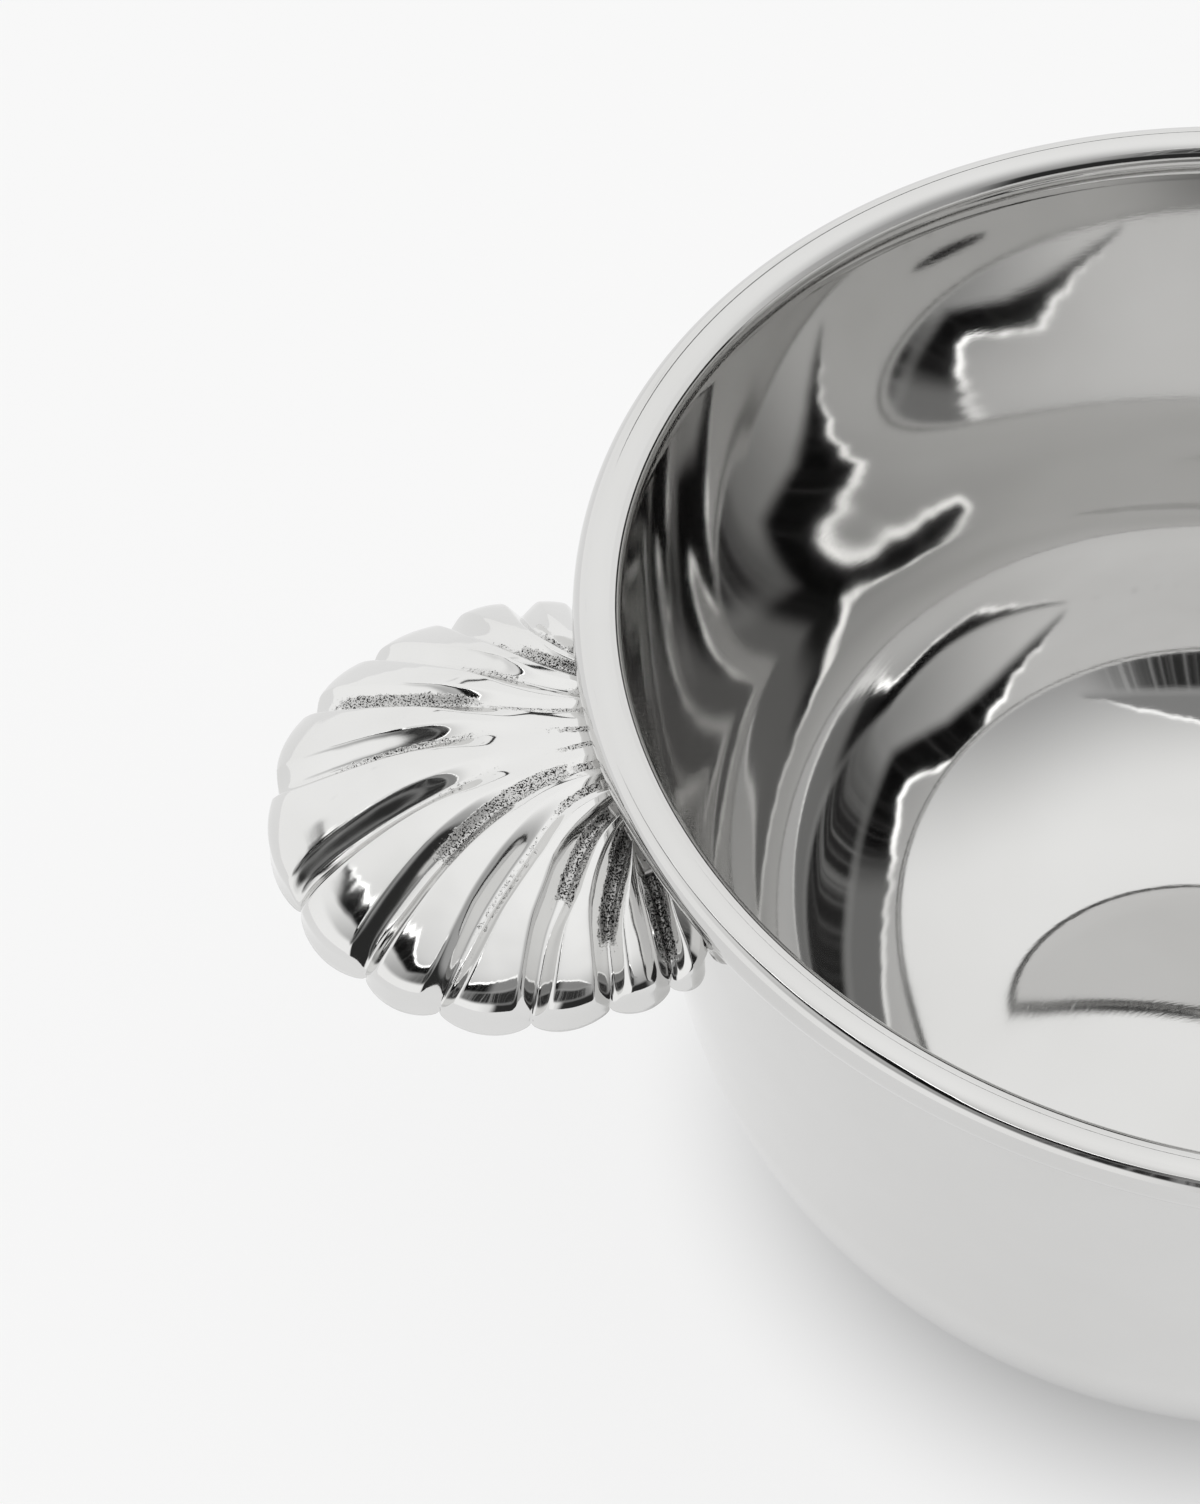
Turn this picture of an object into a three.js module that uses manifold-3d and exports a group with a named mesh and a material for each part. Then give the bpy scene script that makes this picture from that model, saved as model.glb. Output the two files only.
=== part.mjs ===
// Round silver sauce bowl with a thick applied rim wire and two opposite
// scallop-shell lugs, each soldered to the wall just under the rim.
// Units are millimetres. +Z is up, the lugs lie along X, and the origin is
// the centre of the flat base, on the surface that the bowl stands on.
import * as THREE from 'three';
import * as BufferGeometryUtils from 'three/addons/utils/BufferGeometryUtils.js';
import Module from 'manifold-3d';

// ---------------------------------------------------------------- dimensions
const RIM_RADIUS = 55.0;        // rim wire, centre of the section to the bowl's axis
const RIM_WIRE_RADIUS = 1.95;   // rim wire, radius of its round section
const BOWL_DEPTH = 62.15;       // rim wire's centre above the base
const WALL = 1.45;              // wall thickness of the bowl
const WALL_TOP_RADIUS = 55.15;  // outer wall carried up to the rim wire's centre level
const WALL_TAPER_DEG = 10.0;    // how far the side leans in towards the base
const FILLET_RADIAL = 30.6;     // bottom curve, half axis along the radius
const FILLET_VERTICAL = 33.0;   // bottom curve, half axis up the side
const JOINT_GAP = 0.3;          // clearance left between neighbouring pieces

const SHELL_CENTRE = 61.05;     // crest of a lug's dome to the bowl's axis
const SHELL_CREST_DROP = 2.25;  // crest groove level below the rim wire's centre
const SHELL_DOME = 1 / 55.0;    // paraboloid: drop = SHELL_DOME * distance^2
const SHELL_NOTCH_RADIUS = 19.9;// outline radius at a groove, about the crest
const SHELL_LOBE_RADIUS = 20.75;// outline radius at the middle of a lobe
const LOBE_RISE = 1.15;         // how far a lobe stands above its grooves
const SHELL_THICK = 2.3;        // metal under a groove at the crest
const SHELL_EDGE_THICK = 1.75;  // metal under a groove at the outline

const SOLDER_RADIUS = 0.42;     // bead of solder along a lug's root
const SOLDER_HALF_ANGLE = 12.5; // degrees round the bowl, each side of the lug's axis

const ROUND_SEGMENTS = 72;      // facets round the bowl
const WIRE_SEGMENTS = 12;       // facets round the wire's section

// ---------------------------------------------------------------- materials
const silver = () => new THREE.MeshStandardMaterial({ color: 0xe6e5e2, roughness: 0.06, metalness: 1.0 });
const castSilver = () => new THREE.MeshStandardMaterial({ color: 0xdddcd8, roughness: 0.16, metalness: 1.0 });
const solder = () => new THREE.MeshStandardMaterial({ color: 0xa9a7a2, roughness: 0.5, metalness: 1.0 });

const rad = THREE.MathUtils.degToRad;
const group = new THREE.Group();

function addMesh(name, geometry, material) {
  const mesh = new THREE.Mesh(geometry, material);
  mesh.name = name;
  group.add(mesh);
  return mesh;
}

// A profile of (radius, height) points turned about the vertical axis.
function turned(profile, segments) {
  return new THREE.LatheGeometry(profile, segments).rotateX(Math.PI / 2);
}

// ------------------------------------------------------------------- bowl
// Outer or inner side line, from the top down to the axis. inset is the
// distance inwards from the outer surface.
function sideLine(inset, steps) {
  const t = rad(WALL_TAPER_DEG);
  const a = FILLET_RADIAL - inset, b = FILLET_VERTICAL - inset;
  const zc = FILLET_VERTICAL;                          // height of the curve's centre
  // the wall line, moved in square to itself by inset
  const wallAt = (z) => WALL_TOP_RADIUS - inset / Math.cos(t) - (BOWL_DEPTH - z) * Math.tan(t);
  // point of the ellipse whose tangent leans like the wall
  const e0 = Math.atan2(b * Math.sin(t), a * Math.cos(t));
  const zt = zc - b * Math.sin(e0);
  const rc = wallAt(zt) - a * Math.cos(e0);
  const line = [];
  for (let i = 0; i <= steps; i++) {
    const e = e0 + (Math.PI / 2 - e0) * (i / steps);
    line.push(new THREE.Vector2(rc + a * Math.cos(e), zc - b * Math.sin(e)));
  }
  return { wallAt, line };
}

const outer = sideLine(0, 9);
const inner = sideLine(WALL, 9);
{
  // the wall's top edge is hollowed to the wire that sits on it
  const seat = RIM_WIRE_RADIUS + JOINT_GAP;
  const zOut = BOWL_DEPTH - RIM_WIRE_RADIUS * 0.99 - JOINT_GAP;
  const rOut = outer.wallAt(zOut);
  const rIn = inner.wallAt(BOWL_DEPTH - RIM_WIRE_RADIUS);
  const rMid = (rOut + rIn) / 2;
  const under = (r) => BOWL_DEPTH - Math.sqrt(Math.max(0, seat * seat - (r - RIM_RADIUS) * (r - RIM_RADIUS))) - 0.03;
  const profile = [new THREE.Vector2(0, inner.line[inner.line.length - 1].y)];
  for (let i = inner.line.length - 1; i >= 0; i--) profile.push(inner.line[i]);
  profile.push(new THREE.Vector2(rIn, under(rIn)));
  profile.push(new THREE.Vector2(rMid, under(rMid)));
  profile.push(new THREE.Vector2(rOut, Math.min(zOut, under(rOut))));
  for (const p of outer.line) profile.push(p);
  profile.push(new THREE.Vector2(0, 0));
  profile.reverse();
  addMesh('bowl_body', turned(profile, ROUND_SEGMENTS), silver());
}

// --------------------------------------------------------------- rim wire
{
  const profile = [];
  for (let i = 0; i <= WIRE_SEGMENTS; i++) {
    const a = (2 * Math.PI * i) / WIRE_SEGMENTS;
    profile.push(new THREE.Vector2(
      RIM_RADIUS + RIM_WIRE_RADIUS * Math.cos(a),
      BOWL_DEPTH + RIM_WIRE_RADIUS * Math.sin(a)));
  }
  addMesh('rim_wire', turned(profile, ROUND_SEGMENTS), silver());
}

// ------------------------------------------------------------- shell lugs
// Plan of one lug's grooves: u along the lug's axis from the bowl's axis, v
// across, both as fractions of RIM_RADIUS. Each runs from the root outwards,
// and its last point is on the outline. The other half is its mirror image.
const notch = (deg) => [
  (SHELL_CENTRE + SHELL_NOTCH_RADIUS * Math.cos(rad(deg))) / RIM_RADIUS,
  (SHELL_NOTCH_RADIUS * Math.sin(rad(deg))) / RIM_RADIUS];
const NOTCH_ANGLES = [16.5, 40.2, 58.9, 79.3, 96.6, 111.0, 126.0];
const GROOVES = [
  [[0.960, 0.010], [1.020, 0.012], [1.081, 0.020], [1.122, 0.024], [1.198, 0.038], [1.298, 0.055], [1.400, 0.078], notch(16.5)],
  [[0.958, 0.042], [1.022, 0.050], [1.084, 0.060], [1.134, 0.076], [1.190, 0.103], [1.258, 0.142], [1.330, 0.189], notch(40.2)],
  [[0.956, 0.070], [1.020, 0.084], [1.062, 0.100], [1.092, 0.118], [1.147, 0.168], [1.200, 0.217], [1.257, 0.272], notch(58.9)],
  [[0.952, 0.098], [1.016, 0.126], [1.062, 0.165], [1.094, 0.207], [1.112, 0.238], [1.148, 0.292], notch(79.3)],
  [[0.948, 0.118], [1.005, 0.165], [1.032, 0.213], [1.052, 0.260], [1.062, 0.300], notch(96.6)],
  [[0.940, 0.132], [0.985, 0.178], [0.982, 0.215], [0.979, 0.255], [0.979, 0.295], notch(111.0)],
  [[0.925, 0.142], [0.935, 0.190], [0.920, 0.230], [0.900, 0.270], [0.890, 0.300], notch(126.0)],
];
const ROWS = 9;          // steps from root to outline
const PER_LOBE = 4;      // steps across a lobe

function curveOf(points) {
  return new THREE.CatmullRomCurve3(
    points.map(([u, v]) => new THREE.Vector3(u * RIM_RADIUS, v * RIM_RADIUS, 0)), false, 'centripetal');
}

// Columns of plan points across the whole lug, from one side to the other,
// with the height of the lobe surface above the groove level.
function shellColumns() {
  const curves = GROOVES.map(curveOf);
  const mirrored = (p) => new THREE.Vector3(p.x, -p.y, 0);
  // signed groove index: -7..-1, 1..7
  const at = (g, s) => (g > 0 ? curves[g - 1].getPointAt(s) : mirrored(curves[-g - 1].getPointAt(s)));
  const order = [-7, -6, -5, -4, -3, -2, -1, 1, 2, 3, 4, 5, 6, 7];
  const columns = [];
  for (let k = 0; k < order.length - 1; k++) {
    const last = k === order.length - 2;
    for (let j = 0; j < PER_LOBE + (last ? 1 : 0); j++) {
      const w = j / PER_LOBE;
      const bulge = Math.pow(Math.sin(Math.PI * w), 0.8);
      const col = [];
      for (let i = 0; i <= ROWS; i++) {
        const s = i / ROWS;
        const a = at(order[k], s), b = at(order[k + 1], s);
        const p = a.clone().lerp(b, w);
        // pull the outline out to the lobe's round end
        if (s > 0.75) {
          const d = new THREE.Vector3(p.x - SHELL_CENTRE, p.y, 0);
          const target = SHELL_NOTCH_RADIUS + (SHELL_LOBE_RADIUS - SHELL_NOTCH_RADIUS) * bulge;
          const f = (s - 0.75) / 0.25;
          const r = THREE.MathUtils.lerp(d.length(), target, f * f);
          d.setLength(r);
          p.set(SHELL_CENTRE + d.x, d.y, 0);
        }
        // lobes are flat at the root and round off at the outline
        const grow = THREE.MathUtils.smoothstep(s, 0.3, 0.7);
        const end = 1 - 0.55 * THREE.MathUtils.smoothstep(s, 0.88, 1.0);
        col.push({ p, rise: LOBE_RISE * bulge * grow * end, s });
      }
      columns.push(col);
    }
  }
  return columns;
}

function shellGeometry() {
  const columns = shellColumns();
  const nc = columns.length, nr = ROWS + 1;
  const top = (c, r) => c * nr + r;
  const under = (c, r) => nc * nr + c * nr + r;
  const verts = new Float32Array(nc * nr * 2 * 3);
  const put = (i, x, y, z) => { verts[i * 3] = x; verts[i * 3 + 1] = y; verts[i * 3 + 2] = z; };
  for (let c = 0; c < nc; c++) {
    for (let r = 0; r < nr; r++) {
      const { p, rise, s } = columns[c][r];
      const d2 = (p.x - SHELL_CENTRE) ** 2 + p.y ** 2;
      const z = BOWL_DEPTH - SHELL_CREST_DROP - SHELL_DOME * d2;
      put(top(c, r), p.x, p.y, z + rise);
      put(under(c, r), p.x, p.y, z - THREE.MathUtils.lerp(SHELL_THICK, SHELL_EDGE_THICK, s));
    }
  }
  const idx = [];
  const quad = (a, b, c, d) => idx.push(a, b, c, a, c, d);
  for (let c = 0; c < nc - 1; c++) {
    for (let r = 0; r < nr - 1; r++) {
      quad(top(c, r), top(c, r + 1), top(c + 1, r + 1), top(c + 1, r));
      quad(under(c, r), under(c + 1, r), under(c + 1, r + 1), under(c, r + 1));
    }
    quad(top(c, nr - 1), under(c, nr - 1), under(c + 1, nr - 1), top(c + 1, nr - 1));
    quad(top(c, 0), top(c + 1, 0), under(c + 1, 0), under(c, 0));
  }
  for (let r = 0; r < nr - 1; r++) {
    quad(top(0, r), under(0, r), under(0, r + 1), top(0, r + 1));
    quad(top(nc - 1, r), top(nc - 1, r + 1), under(nc - 1, r + 1), under(nc - 1, r));
  }
  const g = new THREE.BufferGeometry();
  g.setAttribute('position', new THREE.BufferAttribute(verts, 3));
  g.setIndex(idx);
  return g;
}

// ------------------------------------------------- fitting a lug to the bowl
const wasm = await Module();
wasm.setup();

function toSolid(geometry) {
  const g = geometry.clone();
  g.deleteAttribute('normal');
  g.deleteAttribute('uv');
  const m = BufferGeometryUtils.mergeVertices(g, 1e-4);
  return new wasm.Manifold(new wasm.Mesh({
    numProp: 3,
    vertProperties: new Float32Array(m.attributes.position.array),
    triVerts: new Uint32Array(m.index.array),
  }));
}

function toGeometry(solid) {
  const mesh = solid.getMesh();
  const g = new THREE.BufferGeometry();
  g.setAttribute('position', new THREE.BufferAttribute(new Float32Array(mesh.vertProperties), 3));
  g.setIndex(new THREE.BufferAttribute(new Uint32Array(mesh.triVerts), 1));
  return g;
}

// everything inside the bowl's outer skin plus the joint gap, and the wire
// with the joint gap round it
function keepOut() {
  const out = [new THREE.Vector2(0, BOWL_DEPTH + 10), new THREE.Vector2(outer.wallAt(BOWL_DEPTH) + JOINT_GAP, BOWL_DEPTH + 10)];
  out.push(new THREE.Vector2(outer.wallAt(BOWL_DEPTH) + JOINT_GAP, BOWL_DEPTH));
  out.push(new THREE.Vector2(outer.wallAt(20) + JOINT_GAP, 20));
  out.push(new THREE.Vector2(0, 20));
  const body = toSolid(turned(out.reverse(), 2 * ROUND_SEGMENTS));
  const ring = [];
  for (let i = 0; i <= 14; i++) {
    const a = (2 * Math.PI * i) / 14;
    const r = (RIM_WIRE_RADIUS + JOINT_GAP) / Math.cos(Math.PI / 14);
    ring.push(new THREE.Vector2(RIM_RADIUS + r * Math.cos(a), BOWL_DEPTH + r * Math.sin(a)));
  }
  return body.add(toSolid(turned(ring, 2 * ROUND_SEGMENTS)));
}

const lug = toSolid(shellGeometry()).subtract(keepOut());
const lugGeometry = toGeometry(lug);

// ------------------------------------------------------------ solder beads
// A thin round bead that follows the wall just above a lug's root.
function solderGeometry() {
  const steps = 14, sides = 8;
  const rings = [];
  for (let i = 0; i <= steps; i++) {
    const a = rad(-SOLDER_HALF_ANGLE + (2 * SOLDER_HALF_ANGLE * i) / steps);
    // the bead stands off the wire or the wall, whichever is further out
    const r = RIM_RADIUS + 1.72 - 0.9 * THREE.MathUtils.smoothstep(Math.abs(a), rad(4), rad(12));
    const x = r * Math.cos(a), y = r * Math.sin(a);
    const d2 = (x - SHELL_CENTRE) ** 2 + y ** 2;
    const z = BOWL_DEPTH - SHELL_CREST_DROP - SHELL_DOME * d2 + 0.25 + JOINT_GAP + SOLDER_RADIUS;
    rings.push({ c: new THREE.Vector3(x, y, z), n: new THREE.Vector3(Math.cos(a), Math.sin(a), 0) });
  }
  const verts = [], idx = [];
  rings.forEach(({ c, n }, i) => {
    const r = SOLDER_RADIUS * (i === 0 || i === steps ? 0.5 : 1);
    for (let k = 0; k < sides; k++) {
      const b = (2 * Math.PI * k) / sides;
      verts.push(c.x + n.x * r * Math.cos(b), c.y + n.y * r * Math.cos(b), c.z + r * Math.sin(b));
    }
  });
  for (let i = 0; i < steps; i++) {
    for (let k = 0; k < sides; k++) {
      const k2 = (k + 1) % sides;
      const a = i * sides + k, b = (i + 1) * sides + k, c = (i + 1) * sides + k2, d = i * sides + k2;
      idx.push(a, b, c, a, c, d);
    }
  }
  for (let k = 1; k < sides - 1; k++) {
    idx.push(0, k, k + 1);
    idx.push(steps * sides, steps * sides + k + 1, steps * sides + k);
  }
  const g = new THREE.BufferGeometry();
  g.setAttribute('position', new THREE.BufferAttribute(new Float32Array(verts), 3));
  g.setIndex(idx);
  return g;
}

for (const [side, turn] of [['right', 0], ['left', Math.PI]]) {
  const handle = addMesh('shell_handle_' + side, lugGeometry.clone(), castSilver());
  handle.rotation.z = turn;
  const bead = addMesh('solder_seam_' + side, solderGeometry(), solder());
  bead.rotation.z = turn;
}

export default group;
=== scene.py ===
"""Looks for the round silver sauce bowl with shell lugs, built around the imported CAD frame."""
import bpy
import math
import numpy as np
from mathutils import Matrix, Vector, noise


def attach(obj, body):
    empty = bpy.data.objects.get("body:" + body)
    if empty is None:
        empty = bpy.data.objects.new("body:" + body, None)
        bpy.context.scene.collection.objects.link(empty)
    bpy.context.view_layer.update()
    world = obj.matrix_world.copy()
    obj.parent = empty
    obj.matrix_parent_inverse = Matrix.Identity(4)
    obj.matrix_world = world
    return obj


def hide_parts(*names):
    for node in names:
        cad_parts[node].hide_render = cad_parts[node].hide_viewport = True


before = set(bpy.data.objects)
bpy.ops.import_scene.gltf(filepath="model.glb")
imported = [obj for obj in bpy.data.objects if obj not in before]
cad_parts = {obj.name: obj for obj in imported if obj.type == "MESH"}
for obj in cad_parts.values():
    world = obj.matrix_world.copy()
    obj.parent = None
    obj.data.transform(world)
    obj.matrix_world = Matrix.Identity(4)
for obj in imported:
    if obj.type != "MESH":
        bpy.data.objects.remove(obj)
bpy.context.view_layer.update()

MM = 0.001
R = 55.0                    # rim wire's centre radius, mm, as in the CAD
WIRE = 1.95                 # rim wire's section radius
DEPTH = 62.15               # rim wire's centre above the base
WALL = 1.45
TOP_R = 55.15
TAPER = math.radians(10.0)
FR, FZ = 30.6, 33.0         # bottom curve's half axes
SHELL_C = 61.05             # crest of a lug's dome
CREST_DROP = 2.25
NOTCH_R, LOBE_R = 19.9, 20.72
RISE = 1.15


# ------------------------------------------------------------------ helpers
def new_mesh(name, verts, faces, smooth=True):
    me = bpy.data.meshes.new(name)
    me.from_pydata([tuple(v) for v in verts], [], [tuple(f) for f in faces])
    me.validate()
    me.update()
    if smooth:
        me.polygons.foreach_set("use_smooth", [True] * len(me.polygons))
    ob = bpy.data.objects.new(name, me)
    bpy.context.scene.collection.objects.link(ob)
    return ob


def sstep(x, a, b):
    t = np.clip((np.asarray(x, float) - a) / (b - a), 0, 1)
    return t * t * (3 - 2 * t)


def lathe(name, profile, segments):
    """Closed turned mesh, from (radius, height) points in mm. Points on the axis share one vertex."""
    p = np.array(profile, float)
    on_axis = p[:, 0] < 1e-6
    ang = np.linspace(0, 2 * math.pi, segments, endpoint=False)
    ca, sa = np.cos(ang), np.sin(ang)
    verts, index = [], []
    for (r, z), ax in zip(p, on_axis):
        if ax:
            index.append([len(verts)] * segments)
            verts.append((0, 0, z * MM))
        else:
            index.append(list(range(len(verts), len(verts) + segments)))
            verts += [(r * c * MM, r * s * MM, z * MM) for c, s in zip(ca, sa)]
    faces = []
    n = len(p)
    closed = not (on_axis[0] and on_axis[-1])
    for i in range(n if closed else n - 1):
        a, b = index[i], index[(i + 1) % n]
        for k in range(segments):
            k2 = (k + 1) % segments
            f = [a[k], a[k2], b[k2], b[k]]
            g = []
            for v in f:
                if v not in g:
                    g.append(v)
            if len(g) > 2:
                faces.append(g)
    return new_mesh(name, verts, faces)


# --------------------------------------------------------------------- bowl
def wall_at(z, inset=0.0):
    return TOP_R - inset / math.cos(TAPER) - (DEPTH - z) * math.tan(TAPER)


def side_line(inset, steps=72):
    a, b = FR - inset, FZ - inset
    e0 = math.atan2(b * math.sin(TAPER), a * math.cos(TAPER))
    zt = FZ - b * math.sin(e0)
    rc = wall_at(zt, inset) - a * math.cos(e0)
    e = e0 + (math.pi / 2 - e0) * np.linspace(0, 1, steps + 1)
    return [(rc + a * math.cos(x), FZ - b * math.sin(x)) for x in e], zt, rc


def bowl_profile():
    outer, zo, rco = side_line(0.0)
    inner, zi, rci = side_line(WALL)
    prof = [(0.0, WALL)]
    prof += [(rci * k / 8, WALL) for k in range(1, 8)]
    prof += inner[::-1]
    top_in = DEPTH - 0.9
    prof += [(wall_at(z, WALL), z) for z in np.linspace(zi, top_in, 30)[1:]]
    # top edge, hidden inside the rim wire
    prof += [(wall_at(top_in, WALL) + 0.15, top_in + 0.25), (R - 0.5, top_in + 0.5), (R, top_in + 0.2)]
    # small concave fillet of solder under the wire, outside
    for z, dr in ((DEPTH - 1.55, 0.62), (DEPTH - 1.85, 0.30), (DEPTH - 2.05, 0.17), (DEPTH - 2.3, 0.075), (DEPTH - 2.6, 0.02), (DEPTH - 2.95, 0.0)):
        prof.append((wall_at(z) + dr, z))
    prof += [(wall_at(z), z) for z in np.linspace(DEPTH - 2.95, zo, 30)[1:]]
    prof += outer[1:]
    prof += [(rco * k / 8, 0.0) for k in range(7, 0, -1)]
    prof.append((0.0, 0.0))
    return prof[::-1]


def make_bowl():
    ob = lathe("bowl_body_fine", bowl_profile(), 288)
    return ob


def make_wire():
    prof = []
    n = 56
    for i in range(n):
        a = 2 * math.pi * i / n
        prof.append((R + WIRE * math.cos(a), DEPTH + WIRE * math.sin(a)))
    return lathe("rim_wire_fine", prof, 288)


# --------------------------------------------------------------- shell lugs
def notch(deg):
    return [(SHELL_C + NOTCH_R * math.cos(math.radians(deg))) / R, NOTCH_R * math.sin(math.radians(deg)) / R]


ROOT_R = 0.9815


def root(v):
    return [math.sqrt(ROOT_R ** 2 - v * v), v]


def on_wall(deg, r=0.975):
    return [r * math.cos(math.radians(deg)), r * math.sin(math.radians(deg))]


GROOVES = [
    [root(0.010), [1.020, 0.012], [1.081, 0.020], [1.122, 0.024], [1.198, 0.038], [1.298, 0.055], [1.400, 0.078], notch(16.5)],
    [root(0.044), [1.022, 0.050], [1.084, 0.060], [1.134, 0.076], [1.190, 0.103], [1.258, 0.142], [1.330, 0.189], notch(40.2)],
    [root(0.074), [1.020, 0.084], [1.062, 0.100], [1.092, 0.118], [1.147, 0.168], [1.200, 0.217], [1.257, 0.272], notch(58.9)],
    [root(0.104), [1.016, 0.128], [1.062, 0.165], [1.094, 0.207], [1.114, 0.240], [1.148, 0.292], notch(79.3)],
    [root(0.132), [1.005, 0.165], [1.032, 0.213], [1.052, 0.260], [1.062, 0.305], notch(96.6)],
    [root(0.150), [0.992, 0.185], [0.986, 0.220], [0.981, 0.260], [0.979, 0.300], notch(111.0)],
    [on_wall(9.6), on_wall(11.5), on_wall(13.5), on_wall(15.5), on_wall(17.5), on_wall(19.6)],
]
# how deep each groove is at its root, as a share of its full depth
ROOT_SHARE = [0.05, 0.35, 0.45, 0.75, 0.95, 1.0, 0.0]


def resample(points, n):
    """Centripetal Catmull-Rom through the points, sampled evenly by length."""
    p = np.array(points, float)
    p = np.vstack([2 * p[0] - p[1], p, 2 * p[-1] - p[-2]])
    out = []
    for i in range(1, len(p) - 2):
        p0, p1, p2, p3 = p[i - 1], p[i], p[i + 1], p[i + 2]
        t0 = 0.0
        t1 = t0 + np.linalg.norm(p1 - p0) ** 0.5
        t2 = t1 + np.linalg.norm(p2 - p1) ** 0.5
        t3 = t2 + np.linalg.norm(p3 - p2) ** 0.5
        for t in np.linspace(t1, t2, 24, endpoint=(i == len(p) - 3)):
            a1 = (t1 - t) / (t1 - t0) * p0 + (t - t0) / (t1 - t0) * p1
            a2 = (t2 - t) / (t2 - t1) * p1 + (t - t1) / (t2 - t1) * p2
            a3 = (t3 - t) / (t3 - t2) * p2 + (t - t2) / (t3 - t2) * p3
            b1 = (t2 - t) / (t2 - t0) * a1 + (t - t0) / (t2 - t0) * a2
            b2 = (t3 - t) / (t3 - t1) * a2 + (t - t1) / (t3 - t1) * a3
            out.append((t2 - t) / (t2 - t1) * b1 + (t - t1) / (t2 - t1) * b2)
    out = np.array(out)
    d = np.concatenate([[0], np.cumsum(np.linalg.norm(np.diff(out, axis=0), axis=1))])
    s = np.linspace(0, d[-1], n)
    return np.stack([np.interp(s, d, out[:, 0]), np.interp(s, d, out[:, 1])], 1)


def dome(u, v):
    """Groove level above the base, in mm, from plan coordinates in mm."""
    kv = 0.88 + 0.12 * sstep(u, SHELL_C - 2, SHELL_C + 6)
    return DEPTH - CREST_DROP - ((u - SHELL_C) ** 2 + kv * v * v) / R


def wobble(x, y, z, scale, seed):
    return noise.noise(Vector((x / scale + seed, y / scale - seed * 0.7, z / scale + seed * 1.3)))


ROWS_TOP, ROLL, SIDE, UNDER = 92, 14, 5, 34
FLANK, CROWN = 11, 7        # nodes on a flank, and from there to the lobe's middle


def shell_grid(seed):
    """Plan points of the lug's upper face, one column from root to edge between two grooves, with the lobes' round
    ends.
    """
    curves = [resample(g, ROWS_TOP) * R for g in GROOVES]
    mirror = np.array([1.0, -1.0])
    order = [-7, -6, -5, -4, -3, -2, -1, 1, 2, 3, 4, 5, 6, 7]
    cv = {g: (curves[abs(g) - 1] if g > 0 else curves[abs(g) - 1] * mirror) for g in order}
    s = np.linspace(0, 1, ROWS_TOP)
    cols, sand = [], []
    for k in range(13):
        a, b = cv[order[k]], cv[order[k + 1]]
        ka, kb = abs(order[k]) - 1, abs(order[k + 1]) - 1
        width = np.linalg.norm(b - a, axis=1)
        nodes = FLANK * 2 + CROWN * 2
        half = FLANK + CROWN
        for j in range(nodes + (1 if k == 12 else 0)):
            jj = j if j <= half else nodes - j
            reach = np.minimum(1.60, 0.40 * width)          # flank zone, mm
            if jj <= FLANK:
                d = reach * (jj / FLANK)
                w = d / width
            else:
                w0 = reach / width
                w = w0 + (0.5 - w0) * ((jj - FLANK) / CROWN)
            if j > half:
                w = 1 - w
            p = a * (1 - w)[:, None] + b * w[:, None]
            # the lobe's round end
            bulge = np.sin(math.pi * w[-1]) ** 0.62 if 0 < w[-1] < 1 else 0.0
            target = NOTCH_R + (LOBE_R - NOTCH_R) * bulge
            rel = p - np.array([SHELL_C, 0.0])
            dist = np.linalg.norm(rel, axis=1)
            f = np.clip((s - 0.7) / 0.3, 0, 1) ** 2
            new = dist * (1 - f) + target * f
            p = np.array([SHELL_C, 0.0]) + rel * (new / np.maximum(dist, 1e-6))[:, None]
            cols.append(dict(p=p, w=w, width=width, ka=ka, kb=kb, ga=k - 1, gb=k))
    return cols, s


# sandy, oxidised casting skin left in the grooves: (from, to, half width in mm, strength, tarnish), along each groove
# from root to edge, for the twelve grooves in order round the lug
SAND = [
    [(0.0, 1.0, 0.42, 0.75, 0.35)],
    [(0.0, 0.35, 0.80, 0.9, 0.3), (0.35, 0.62, 0.50, 0.7, 0.2)],
    [(0.0, 0.5, 0.85, 0.95, 0.25), (0.5, 0.66, 0.40, 0.5, 0.1)],
    [(0.0, 0.16, 0.35, 0.75, 0.1), (0.34, 0.60, 0.45, 0.75, 0.1)],
    [(0.0, 0.45, 0.22, 0.6, 0.1), (0.45, 0.88, 0.92, 1.0, 0.25)],
    [(0.0, 0.2, 0.35, 0.8, 0.2), (0.40, 0.82, 0.40, 0.62, 0.1)],
    [(0.0, 0.2, 0.30, 0.8, 0.2), (0.40, 0.60, 0.22, 0.5, 0.0)],
    [(0.0, 0.2, 0.45, 0.85, 0.2), (0.2, 0.66, 0.85, 1.0, 0.25)],
    [(0.0, 0.32, 0.42, 0.9, 0.25), (0.32, 0.8, 0.22, 0.45, 0.0)],
    [(0.0, 0.6, 0.62, 0.95, 0.35)],
    [(0.0, 0.76, 0.66, 1.0, 0.6)],
    [(0.0, 0.88, 0.55, 0.95, 0.7)],
]


def sand_at(groove, s, edge):
    """Sand and tarnish strength at a share s along a groove, edge mm from its centre line."""
    out = np.zeros_like(s)
    dark = np.zeros_like(s)
    if not 0 <= groove <= 11:
        return out, dark
    for a, b, half, amp, tarnish in SAND[groove]:
        fade = 0.09
        lo = np.ones_like(s) if a == 0.0 else sstep(s, a - fade, a + fade)
        hi = np.ones_like(s) if b == 1.0 else 1 - sstep(s, b - fade, b + fade)
        across = 1 - sstep(edge, half * 0.65, half * 1.15)
        out = np.maximum(out, amp * lo * hi * across)
        dark = np.maximum(dark, tarnish * lo * hi * across)
    return out, dark


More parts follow.
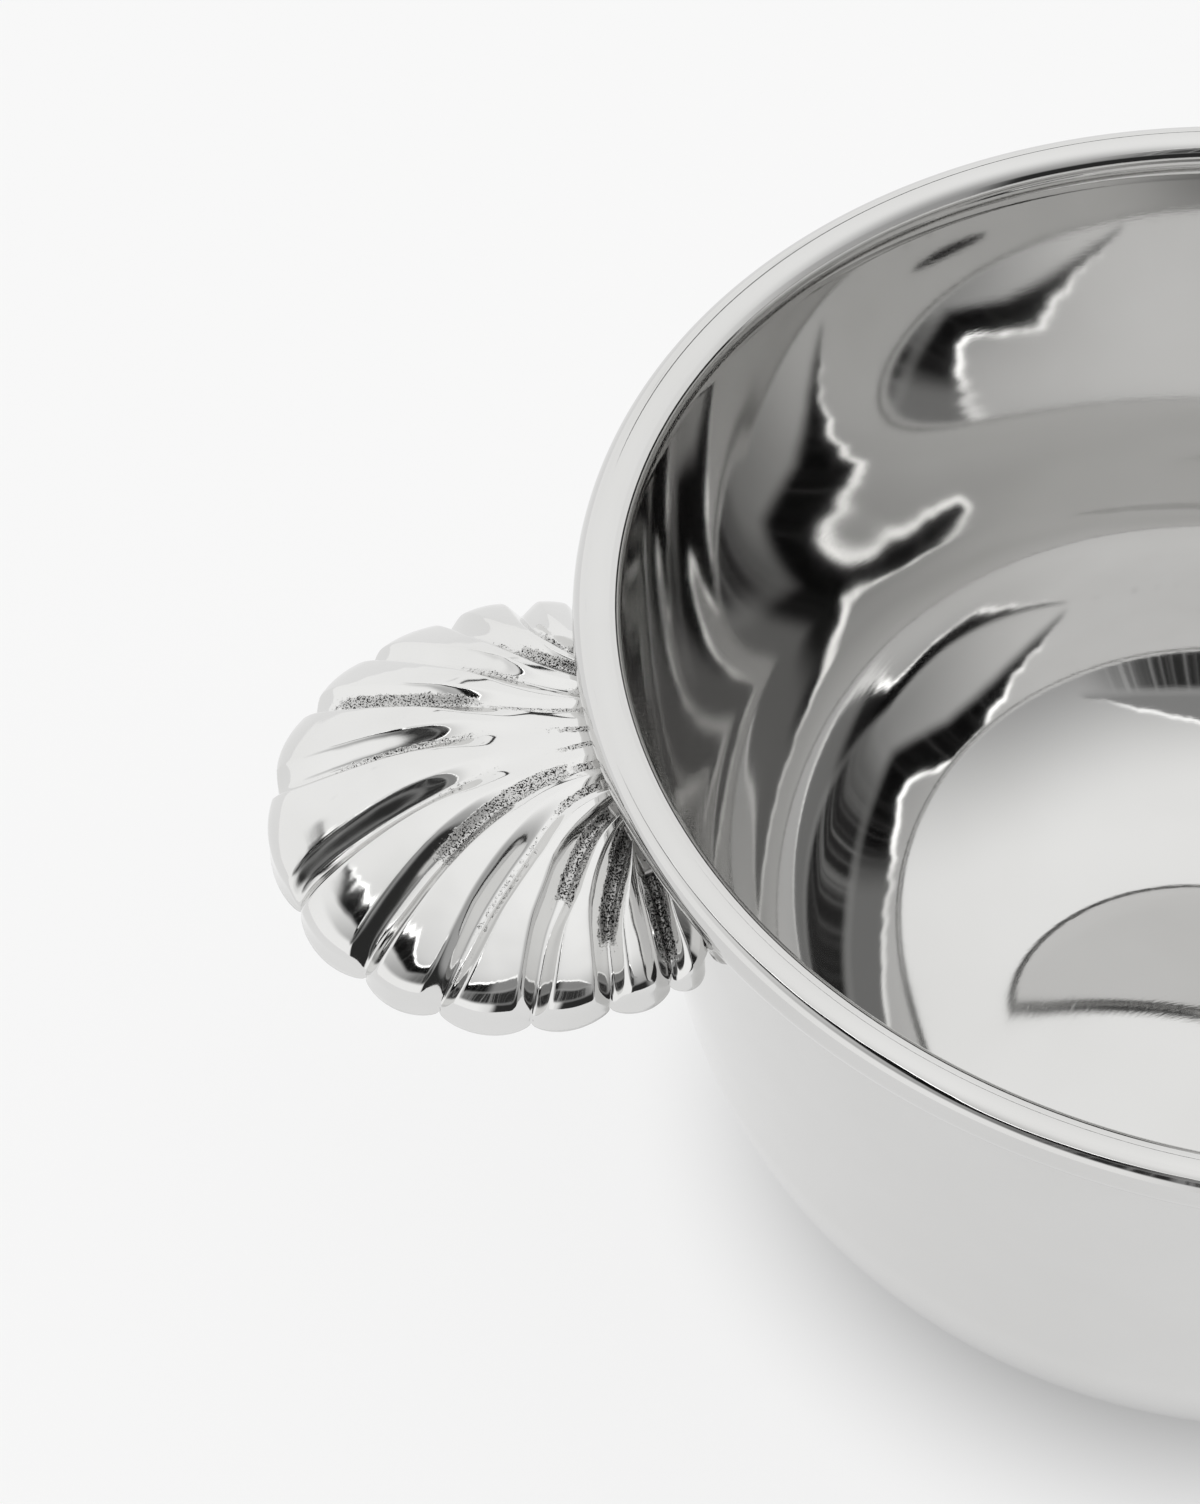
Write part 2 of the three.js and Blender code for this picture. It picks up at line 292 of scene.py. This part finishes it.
def shell_surface(c, s):
    """Height of the lug's upper surface along one column, and how much of it is sandy groove."""
    p, w, width = c["p"], c["w"], c["width"]
    rho = np.hypot(p[:, 0] - SHELL_C, p[:, 1])
    rise = RISE * sstep(rho, 1.2, 11.0)
    z = dome(p[:, 0], p[:, 1]) + rise
    carve = np.zeros_like(z)
    floor = np.zeros_like(z)
    for edge, kk in ((w * width, c["ka"]), ((1 - w) * width, c["kb"])):
        if kk == 6:
            continue
        share = ROOT_SHARE[kk] + (1 - ROOT_SHARE[kk]) * sstep(s, 0.22, 0.5)
        fw = 0.20 + 0.08 * np.sin(s * 9 + kk)               # half width of the groove's floor
        fl = np.minimum(1.22, 0.34 * width)                 # flank width
        t = np.clip((edge - fw) / fl, 0, 1)
        g = 0.30 * (1 - sstep(t, 0, 1)) + 0.70 * (1 - t)    # nearly straight flank
        depth = (rise + 0.16 * sstep(rho, 0, 9)) * share
        carve = np.maximum(carve, depth * g)
        floor = np.maximum(floor, 1 - sstep(edge, fw * 0.8, fw + fl * 0.9))
    crown = 0.34 * sstep(s, 0.2, 0.7) * (2 * w - 1) ** 2 * np.minimum(1, width / 7)
    s1, d1 = sand_at(c["ga"], s, w * width)
    s2, d2 = sand_at(c["gb"], s, (1 - w) * width)
    return z - carve - crown, floor, np.maximum(s1, s2), np.maximum(d1, d2)


def make_shell(name, side, seed):
    cols, s = shell_grid(seed)
    nc = len(cols)
    verts, groove, sand, tarnish = [], [], [], []
    rows = None
    for c in cols:
        z, fl, sd, dk = shell_surface(c, s)
        p = c["p"]
        end_u, end_v = p[-1]
        d = np.array([end_u - SHELL_C, end_v])
        d /= np.linalg.norm(d)
        # roll the last stretch down to a near-vertical edge
        rdist = np.linalg.norm(p - p[-1], axis=1)
        roll = 2.3
        zz = z.copy()
        t = np.clip(1 - rdist / roll, 0, 1)
        zz -= 0.95 * (1 - np.sqrt(np.clip(1 - (t * 0.985) ** 2.4, 0, 1)))
        section = [(p[i, 0], p[i, 1], zz[i]) for i in range(ROWS_TOP)]
        g = list(fl)
        # edge: straight down, then a small round, then the hollow underside
        zu_edge = dome(end_u, end_v) - 2.0
        ztop = section[-1][2]
        for q in range(1, SIDE + 1):
            f = q / SIDE
            section.append((end_u - d[0] * 0.06 * math.sin(math.pi * f), end_v - d[1] * 0.06 * math.sin(math.pi * f), ztop + (zu_edge - ztop) * f))
            g.append(0.0)
        for q in range(1, 6):
            ang = math.pi / 2 * q / 5
            section.append((end_u - d[0] * 0.35 * math.sin(ang), end_v - d[1] * 0.35 * math.sin(ang), zu_edge - 0.22 * (1 - math.cos(ang)) * 0 - 0.18 * math.sin(ang)))
            g.append(0.0)
        ip = np.linspace(1, 0, UNDER + 1)[1:]
        pu = np.stack([np.interp(ip, s, p[:, 0]), np.interp(ip, s, p[:, 1])], 1)
        for q, (uu, vv) in enumerate(pu):
            back = min(1.0, np.hypot(uu - end_u, vv - end_v) / 3.2)
            soft = back * back * (3 - 2 * back)
            thick = 2.18 * (1 - soft) + 2.45 * soft
            section.append((uu - d[0] * 0.35 * (1 - soft), vv - d[1] * 0.35 * (1 - soft), dome(uu, vv) - thick + 0.0))
            g.append(0.0)
        rows = len(section)
        verts += section
        groove += g
        sand += list(sd) + [0.0] * (rows - ROWS_TOP)
        tarnish += list(dk) + [0.0] * (rows - ROWS_TOP)
    v = np.array(verts)
    # a hand-finished surface: very small waves
    n_top = ROWS_TOP
    for i in range(len(v)):
        r = i % rows
        if 4 < r < n_top - 2:
            x, y, z = v[i]
            v[i, 2] += 0.028 * wobble(x, y, z, 3.1, seed) + 0.012 * wobble(x, y, z, 1.3, seed + 4)
    faces = []
    for c in range(nc - 1):
        for r in range(rows - 1):
            i = c * rows + r
            faces.append((i, i + 1, i + rows + 1, i + rows))
        faces.append((c * rows, (c + 1) * rows, (c + 1) * rows + rows - 1, c * rows + rows - 1))
    faces.append(tuple(range(rows - 1, -1, -1)))
    faces.append(tuple((nc - 1) * rows + r for r in range(rows)))
    sgn = 1.0 if side == "right" else -1.0
    v[:, 0] *= sgn
    v[:, 1] *= sgn
    ob = new_mesh(name, v * MM, faces)
    for key, val in (("groove", groove), ("sand", sand), ("tarnish", tarnish)):
        at = ob.data.attributes.new(key, "FLOAT", "POINT")
        at.data.foreach_set("value", np.array(val, np.float32))
    return ob


bowl = make_bowl()
wire = make_wire()
shells = {side: make_shell("shell_handle_%s_fine" % side, side, sd) for side, sd in (("left", 3.0), ("right", 11.0))}


# ------------------------------------------------------------- solder seams
def make_seam(name, side, seed):
    """An uneven fillet of solder where the lug's upper face meets the wire and the wall."""
    steps, sides = 120, 14
    verts, faces = [], []
    for i in range(steps + 1):
        f = i / steps
        a = math.radians(-12.4 + 24.8 * f)
        # how far out the fillet's toe reaches on the lug
        n1 = wobble(f * 40, seed, 0, 3.0, seed)
        toe = R + 1.95 + 0.35 * n1 - 1.0 * sstep(abs(math.degrees(a)), 4.5, 12.0)
        heel = 54.6
        end = min(1.0, min(i, steps - i) / 7.0) ** 0.5
        for k in range(sides):
            t = k / (sides - 1)
            if k < sides - 1:
                # concave face from the toe up to under the wire
                r = toe + (heel - toe) * t
                x, y = r * math.cos(a), r * math.sin(a)
                zs = float(dome(x, y)) + RISE * float(sstep(math.hypot(x - SHELL_C, y), 1.2, 11.0)) * 0.55
                up = 0.72 * (t ** 1.6) * end
                z = zs + 0.02 + up + 0.03 * wobble(x, y, zs, 0.8, seed)
            else:
                r = heel
                x, y = r * math.cos(a), r * math.sin(a)
                z = float(dome(x, y)) - 0.6
            verts.append((x, y, z))
        # underside of the toe
        x, y = (toe - 0.1) * math.cos(a), (toe - 0.1) * math.sin(a)
        verts.append((x, y, float(dome(x, y)) - 0.4))
    n = sides + 1
    for i in range(steps):
        for k in range(n):
            k2 = (k + 1) % n
            faces.append((i * n + k, i * n + k2, (i + 1) * n + k2, (i + 1) * n + k))
    faces.append(tuple(range(n - 1, -1, -1)))
    faces.append(tuple(steps * n + k for k in range(n)))
    v = np.array(verts)
    sgn = 1.0 if side == "right" else -1.0
    v[:, 0] *= sgn
    v[:, 1] *= sgn
    return new_mesh(name, v * MM, faces)


seams = {side: make_seam("solder_seam_%s_fine" % side, side, sd) for side, sd in (("left", 5.0), ("right", 9.0))}


# ---------------------------------------------------------------- materials
def material(name):
    m = bpy.data.materials.new(name)
    m.use_nodes = True
    nt = m.node_tree
    return m, nt, nt.nodes["Principled BSDF"]


class Net:
    """Short-hand for building node networks."""

    def __init__(self, nt):
        self.nt = nt

    def put(self, socket, value):
        if isinstance(value, bpy.types.NodeSocket):
            self.nt.links.new(value, socket)
        else:
            socket.default_value = value

    def math(self, op, a, b=None, c=None, clamp=False):
        n = self.nt.nodes.new("ShaderNodeMath")
        n.operation = op
        n.use_clamp = clamp
        for k, x in enumerate((a, b, c)):
            if x is not None:
                self.put(n.inputs[k], x)
        return n.outputs[0]

    def step(self, x, lo, hi, a=0.0, b=1.0):
        n = self.nt.nodes.new("ShaderNodeMapRange")
        n.interpolation_type = "SMOOTHSTEP"
        for k, v in zip(("Value", "From Min", "From Max", "To Min", "To Max"), (x, lo, hi, a, b)):
            self.put(n.inputs[k], v)
        return n.outputs[0]

    def mix(self, a, b, t):
        return self.math("MULTIPLY_ADD", self.math("SUBTRACT", b, a), t, a)

    def noise(self, vector, scale, detail=2.0, rough=0.5):
        n = self.nt.nodes.new("ShaderNodeTexNoise")
        self.put(n.inputs["Vector"], vector)
        n.inputs["Scale"].default_value = scale
        n.inputs["Detail"].default_value = detail
        n.inputs["Roughness"].default_value = rough
        return n.outputs[0]

    def point(self):
        return self.nt.nodes.new("ShaderNodeTexCoord").outputs["Object"]

    def split(self, v):
        n = self.nt.nodes.new("ShaderNodeSeparateXYZ")
        self.put(n.inputs[0], v)
        return n.outputs

    def join(self, x, y, z):
        n = self.nt.nodes.new("ShaderNodeCombineXYZ")
        for k, v in enumerate((x, y, z)):
            self.put(n.inputs[k], v)
        return n.outputs[0]

    def attr(self, name):
        n = self.nt.nodes.new("ShaderNodeAttribute")
        n.attribute_name = name
        return n.outputs["Fac"]

    def colour(self, t, a, b):
        n = self.nt.nodes.new("ShaderNodeMix")
        n.data_type = "RGBA"
        self.put(n.inputs[0], t)
        for k, v in ((6, a), (7, b)):
            self.put(n.inputs[k], (*v, 1) if isinstance(v, tuple) else v)
        return n.outputs[2]

    def bump(self, height, strength, distance, normal=None):
        n = self.nt.nodes.new("ShaderNodeBump")
        self.put(n.inputs["Height"], height)
        n.inputs["Strength"].default_value = strength
        n.inputs["Distance"].default_value = distance
        if normal is not None:
            self.put(n.inputs["Normal"], normal)
        return n.outputs[0]


SILVER = (0.672, 0.670, 0.664)


def polished_silver():
    """Turned and hand-polished sheet: mirror with faint hairlines round the axis and soft haze."""
    m, nt, bs = material("polished_silver")
    g = Net(nt)
    p = g.point()
    x, y, z = g.split(p)
    rad = g.math("SQRT", g.math("ADD", g.math("MULTIPLY", x, x), g.math("MULTIPLY", y, y)))
    # marks follow the turning: long round the axis, short along the wall's slope
    ring = g.join(g.math("MULTIPLY", x, 0.16), g.math("MULTIPLY", y, 0.16), g.math("ADD", z, g.math("MULTIPLY", rad, 0.8)))
    hair = g.noise(ring, 5200.0, 2.0, 0.6)
    cross = g.noise(g.join(x, y, z), 900.0, 4.0, 0.65)
    haze = g.noise(p, 42.0, 3.0, 0.55)
    marks = g.step(hair, 0.60, 0.78)
    rough = g.math("ADD", g.step(haze, 0.35, 0.75, 0.028, 0.062), g.math("MULTIPLY", marks, 0.03))
    nt.links.new(rough, bs.inputs["Roughness"])
    bs.inputs["Metallic"].default_value = 1.0
    tone = g.colour(g.step(haze, 0.3, 0.8), SILVER, (0.645, 0.642, 0.634))
    nt.links.new(tone, bs.inputs["Base Color"])
    h = g.math("ADD", g.math("MULTIPLY", hair, 0.6), g.math("MULTIPLY", cross, 0.4))
    nt.links.new(g.bump(h, 0.05, 0.00002), bs.inputs["Normal"])
    return m


def cast_silver():
    """Cast lug: polished lobes, grooves with a sandy grey skin and black specks in it."""
    m, nt, bs = material("cast_silver")
    g = Net(nt)
    p = g.point()
    sand = g.attr("sand")
    tarn = g.attr("tarnish")
    grain = g.noise(p, 7600.0, 1.5, 0.6)
    grain2 = g.noise(p, 2300.0, 3.0, 0.6)
    broad = g.noise(p, 620.0, 3.0, 0.6)
    # ragged edge to the sandy zone
    zone = g.step(g.math("ADD", sand, g.math("MULTIPLY", g.math("SUBTRACT", grain2, 0.5), 1.3)), 0.42, 0.62)
    zone = g.math("MULTIPLY", zone, g.step(sand, 0.02, 0.2))
    thresh = g.math("SUBTRACT", 0.566, g.math("ADD", g.math("MULTIPLY", tarn, 0.14), g.math("MULTIPLY", g.math("SUBTRACT", broad, 0.5), 0.20)))
    speck = g.step(g.math("SUBTRACT", grain, thresh), 0.0, 0.045)
    speck = g.math("MULTIPLY", speck, zone)
    # loose specks round the sandy zone
    loose = g.math("MULTIPLY", g.step(grain, 0.70, 0.74), g.step(sand, 0.01, 0.35))
    dark = g.math("MAXIMUM", speck, loose)
    ground = g.colour(tarn, (0.72, 0.717, 0.71), (0.27, 0.267, 0.26))
    haze = g.noise(p, 90.0, 3.0, 0.55)
    tone = g.colour(g.step(haze, 0.3, 0.8), (0.74, 0.738, 0.732), (0.70, 0.698, 0.69))
    c = g.colour(zone, tone, ground)
    c = g.colour(dark, c, (0.018, 0.017, 0.017))
    nt.links.new(c, bs.inputs["Base Color"])
    bs.inputs["Metallic"].default_value = 1.0
    marks = g.noise(p, 1500.0, 4.0, 0.65)
    rough = g.mix(g.step(haze, 0.3, 0.8, 0.045, 0.085), 0.38, g.math("MAXIMUM", zone, dark))
    nt.links.new(rough, bs.inputs["Roughness"])
    height = g.math("SUBTRACT", g.math("MULTIPLY", g.math("MULTIPLY", grain2, zone), 1.0), g.math("MULTIPLY", dark, 0.8))
    fine = g.bump(marks, 0.05, 0.00002)
    nt.links.new(g.bump(height, 0.55, 0.00008, fine), bs.inputs["Normal"])
    return m


def silver_solder():
    """Matt grey, slightly pitted solder with dark flux specks."""
    m, nt, bs = material("silver_solder")
    g = Net(nt)
    p = g.point()
    grain = g.noise(p, 3600.0, 3.0, 0.6)
    broad = g.noise(p, 700.0, 3.0, 0.6)
    speck = g.step(g.math("ADD", grain, g.math("MULTIPLY", g.math("SUBTRACT", broad, 0.5), 0.35)), 0.60, 0.66)
    tone = g.colour(broad, (0.56, 0.555, 0.545), (0.36, 0.355, 0.345))
    nt.links.new(g.colour(speck, tone, (0.05, 0.048, 0.046)), bs.inputs["Base Color"])
    bs.inputs["Metallic"].default_value = 1.0
    nt.links.new(g.step(broad, 0.3, 0.7, 0.30, 0.50), bs.inputs["Roughness"])
    nt.links.new(g.bump(g.math("SUBTRACT", broad, g.math("MULTIPLY", speck, 0.6)), 0.5, 0.00008), bs.inputs["Normal"])
    return m


polished = polished_silver()
cast = cast_silver()
solder = silver_solder()

for ob, node, mat, slot in (
    (bowl, "bowl_body", polished, "polished_silver"),
    (wire, "rim_wire", polished, "polished_silver"),
    (shells["left"], "shell_handle_left", cast, "cast_silver"),
    (shells["right"], "shell_handle_right", cast, "cast_silver"),
    (seams["left"], "solder_seam_left", solder, "silver_solder"),
    (seams["right"], "solder_seam_right", solder, "silver_solder"),
):
    ob.data.materials.append(mat)
    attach(ob, "root")
    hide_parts(node)

# -------------------------------------------------------------------- stage
scene = bpy.context.scene
scene.view_settings.view_transform = "Standard"
scene.cycles.max_bounces = 24
scene.cycles.glossy_bounces = 20
scene.cycles.diffuse_bounces = 4

bpy.ops.mesh.primitive_circle_add(vertices=96, radius=6.0, fill_type="NGON", location=(0, 0, -0.00002))
floor = bpy.context.object
floor.name = "floor"
fm, fnt, fbs = material("floor_pale")
fbs.inputs["Base Color"].default_value = (0.17, 0.17, 0.17, 1)
# self-lit floor for an evenly bright backdrop, with a painted contact shadow: the emission fades towards the bowl's
# base
fg = Net(fnt)
fx, fy, fz = fg.split(fg.point())
fr = fg.math("SQRT", fg.math("ADD", fg.math("MULTIPLY", fx, fx), fg.math("MULTIPLY", fy, fy)))
# painted shadow: emission is 0.12 within 20 mm of the axis and rises to full by 53 mm, which also darkens the bowl's
# lower outer wall through its reflection
floor_light_with_painted_shadow = fg.step(fr, 0.020, 0.053, 0.12, 1.0)
fnt.links.new(fg.join(floor_light_with_painted_shadow, floor_light_with_painted_shadow, floor_light_with_painted_shadow), fbs.inputs["Emission Color"])
fbs.inputs["Emission Strength"].default_value = 0.785
fbs.inputs["Roughness"].default_value = 0.9
fbs.inputs["Specular IOR Level"].default_value = 0.0
floor.data.materials.append(fm)

world = bpy.data.worlds.new("studio")
scene.world = world
world.use_nodes = True
wnt = world.node_tree
wg = Net(wnt)
DEG = 57.29578
wx, wy, wz = wg.split(wnt.nodes.new("ShaderNodeTexCoord").outputs["Generated"])
az = wg.math("MULTIPLY", wg.math("ARCTAN2", wy, wx), DEG)
el = wg.math("MULTIPLY", wg.math("ARCSINE", wz), DEG)


def off(a):
    return wg.math("WRAP", wg.math("SUBTRACT", az, a), 180.0, -180.0)


def level(points, full=90.0):
    """A value that follows the azimuth through the given points, in degrees of elevation unless full says otherwise."""
    n = wnt.nodes.new("ShaderNodeValToRGB")
    n.color_ramp.interpolation = "LINEAR"
    els = n.color_ramp.elements
    pts = sorted(points)
    while len(els) < len(pts):
        els.new(0.5)
    for e, (a, h) in zip(els, pts):
        e.position = (a + 180) / 360
    for e, (a, h) in zip(els, pts):
        e.color = (h / full, h / full, h / full, 1)
    wnt.links.new(wg.math("DIVIDE", wg.math("ADD", az, 180.0), 360.0), n.inputs[0])
    return wg.math("MULTIPLY", n.outputs[0], full)


# white diffusion overhead and behind, falling off towards the open, darker front of the studio
front = wg.math("COSINE", wg.math("DIVIDE", wg.math("ADD", az, 100.8), DEG))
side = wg.step(front, -0.35, 0.75)
back_white = wg.step(el, 30.0, 85.0, 1.08, 1.14)
front_grey = wg.step(el, 22.0, 76.0, 0.42, 1.12)
E = wg.mix(back_white, front_grey, side)

# the gap between the diffusion panels at the front, with a lit edge above it
TOP = [(-180, 47), (-169, 52.5), (-162, 51), (-156, 48.5), (-147, 43), (-140, 45.5), (-135, 47), (-124, 51), (-110, 52.5),
       (-96, 53), (-85, 49), (-75, 43), (-65, 36), (-60, 30), (140, 26), (150, 33), (160, 38), (171, 44), (180, 47)]
BOT = [(-180, 40), (-169, 40.5), (-160, 38), (-150, 34.5), (-140, 37), (-130, 39), (-120, 41), (-110, 42), (-98, 42),
       (-85, 41), (-75, 39), (-65, 36), (-60, 30), (140, 26), (150, 31), (160, 35), (171, 38.5), (180, 40)]
jag = wnt.nodes.new("ShaderNodeTexNoise")
jag.noise_dimensions = "1D"
jag.inputs["W"].default_value = 0.0
jag.inputs["Scale"].default_value = 1.0
jag.inputs["Detail"].default_value = 3.0
wnt.links.new(wg.math("MULTIPLY", az, 0.16), jag.inputs["W"])
top = wg.math("ADD", level(TOP), wg.math("MULTIPLY", wg.math("SUBTRACT", jag.outputs[0], 0.5), 3.2))
bot = level(BOT)
span = wg.math("SUBTRACT", top, bot)

fine_w = wnt.nodes.new("ShaderNodeTexNoise")
fine_w.noise_dimensions = "1D"
fine_w.inputs["Scale"].default_value = 1.0
fine_w.inputs["Detail"].default_value = 2.0
wnt.links.new(wg.math("MULTIPLY", az, 0.9), fine_w.inputs["W"])

# near the horizon: bright stands of diffusion with a dark opening between them at the right of the front
HORIZON = [(-180, 1.1), (-124, 1.1), (-114, 0.9), (-108, 0.03), (-58, 0.03), (-50, 0.40), (-22, 0.55), (0, 1.0), (180, 1.1)]
E = wg.mix(E, level(HORIZON, 1.2), wg.step(el, 19.0, 27.0, 1.0, 0.0))

# shaded front below the gap
low = wg.math("MULTIPLY", wg.step(wg.math("SUBTRACT", bot, el), -2.0, 2.5), wg.step(el, 21.0, 28.0))
low = wg.math("MULTIPLY", low, wg.math("MULTIPLY", wg.step(off(-105.0), -50.0, -22.0), wg.step(off(-105.0), 18.0, 40.0, 1.0, 0.0)))
low_w = wg.step(wg.math("ADD", fine_w.outputs[0], wg.math("MULTIPLY", wg.math("SUBTRACT", jag.outputs[0], 0.5), 0.8)), 0.5, 0.8, 0.03, 0.35)
E = wg.mix(E, low_w, low)
over = wg.math("SUBTRACT", el, top)
lit = wg.math("MULTIPLY", wg.math("MULTIPLY", wg.step(over, -0.4, 0.5), wg.step(over, 0.9, 2.2, 1.0, 0.0)), wg.step(span, 1.0, 6.0))
E = wg.mix(E, wg.mix(2.9, 1.5, wg.step(off(-128.0), -4.0, 10.0)), lit)
streaks = wg.step(fine_w.outputs[0], 0.58, 0.75, 0.006, 0.10)
gap_tone = wg.mix(streaks, 0.30, wg.step(off(-128.0), 0.0, 14.0))
inside = wg.math("MULTIPLY", wg.step(over, -0.5, 0.5, 1.0, 0.0), wg.step(wg.math("SUBTRACT", el, bot), -2.5, 2.5))
inside = wg.math("MULTIPLY", inside, wg.step(span, 0.0, 1.5))
E = wg.mix(E, gap_tone, inside)

# a narrow slot between the panels behind
q = wg.math("DIVIDE", off(79.0), 19.0)
half = wg.math("MULTIPLY", wg.math("SQRT", wg.math("MAXIMUM", wg.math("SUBTRACT", 1.0, wg.math("MULTIPLY", q, q)), 0.0)), 1.9)
mid = wg.math("SUBTRACT", 35.3, wg.math("MULTIPLY", off(79.0), 0.03))
slot = wg.step(wg.math("SUBTRACT", half, wg.math("ABSOLUTE", wg.math("SUBTRACT", el, mid))), 0.0, 0.6)
E = wg.mix(E, 0.02, slot)

bg = wnt.nodes["Background"]
wnt.links.new(wg.join(E, E, wg.math("MULTIPLY", E, 0.995)), bg.inputs[0])
bg.inputs[1].default_value = 1.0

# ------------------------------------------------------------------- camera
TH = math.radians(49.2)
HEAD = math.radians(-10.8)
tx, ty, tz = 0.996, -0.196, 5.664
c = np.array([-tx, ty * math.sin(TH) - tz * math.cos(TH), ty * math.cos(TH) + tz * math.sin(TH)]) * R
cam_data = bpy.data.cameras.new("camera")
cam = bpy.data.objects.new("camera", cam_data)
scene.collection.objects.link(cam)
scene.camera = cam
cam_data.sensor_width = 36.0
cam_data.lens = 4000 * 36 / 1504
cam_data.clip_start = 0.01
cam_data.clip_end = 30
cam.location = (
    (c[0] * math.cos(HEAD) - c[1] * math.sin(HEAD)) * MM,
    (c[0] * math.sin(HEAD) + c[1] * math.cos(HEAD)) * MM,
    (c[2] + DEPTH) * MM,
)
cam.rotation_euler = (math.pi / 2 - TH, 0, HEAD)
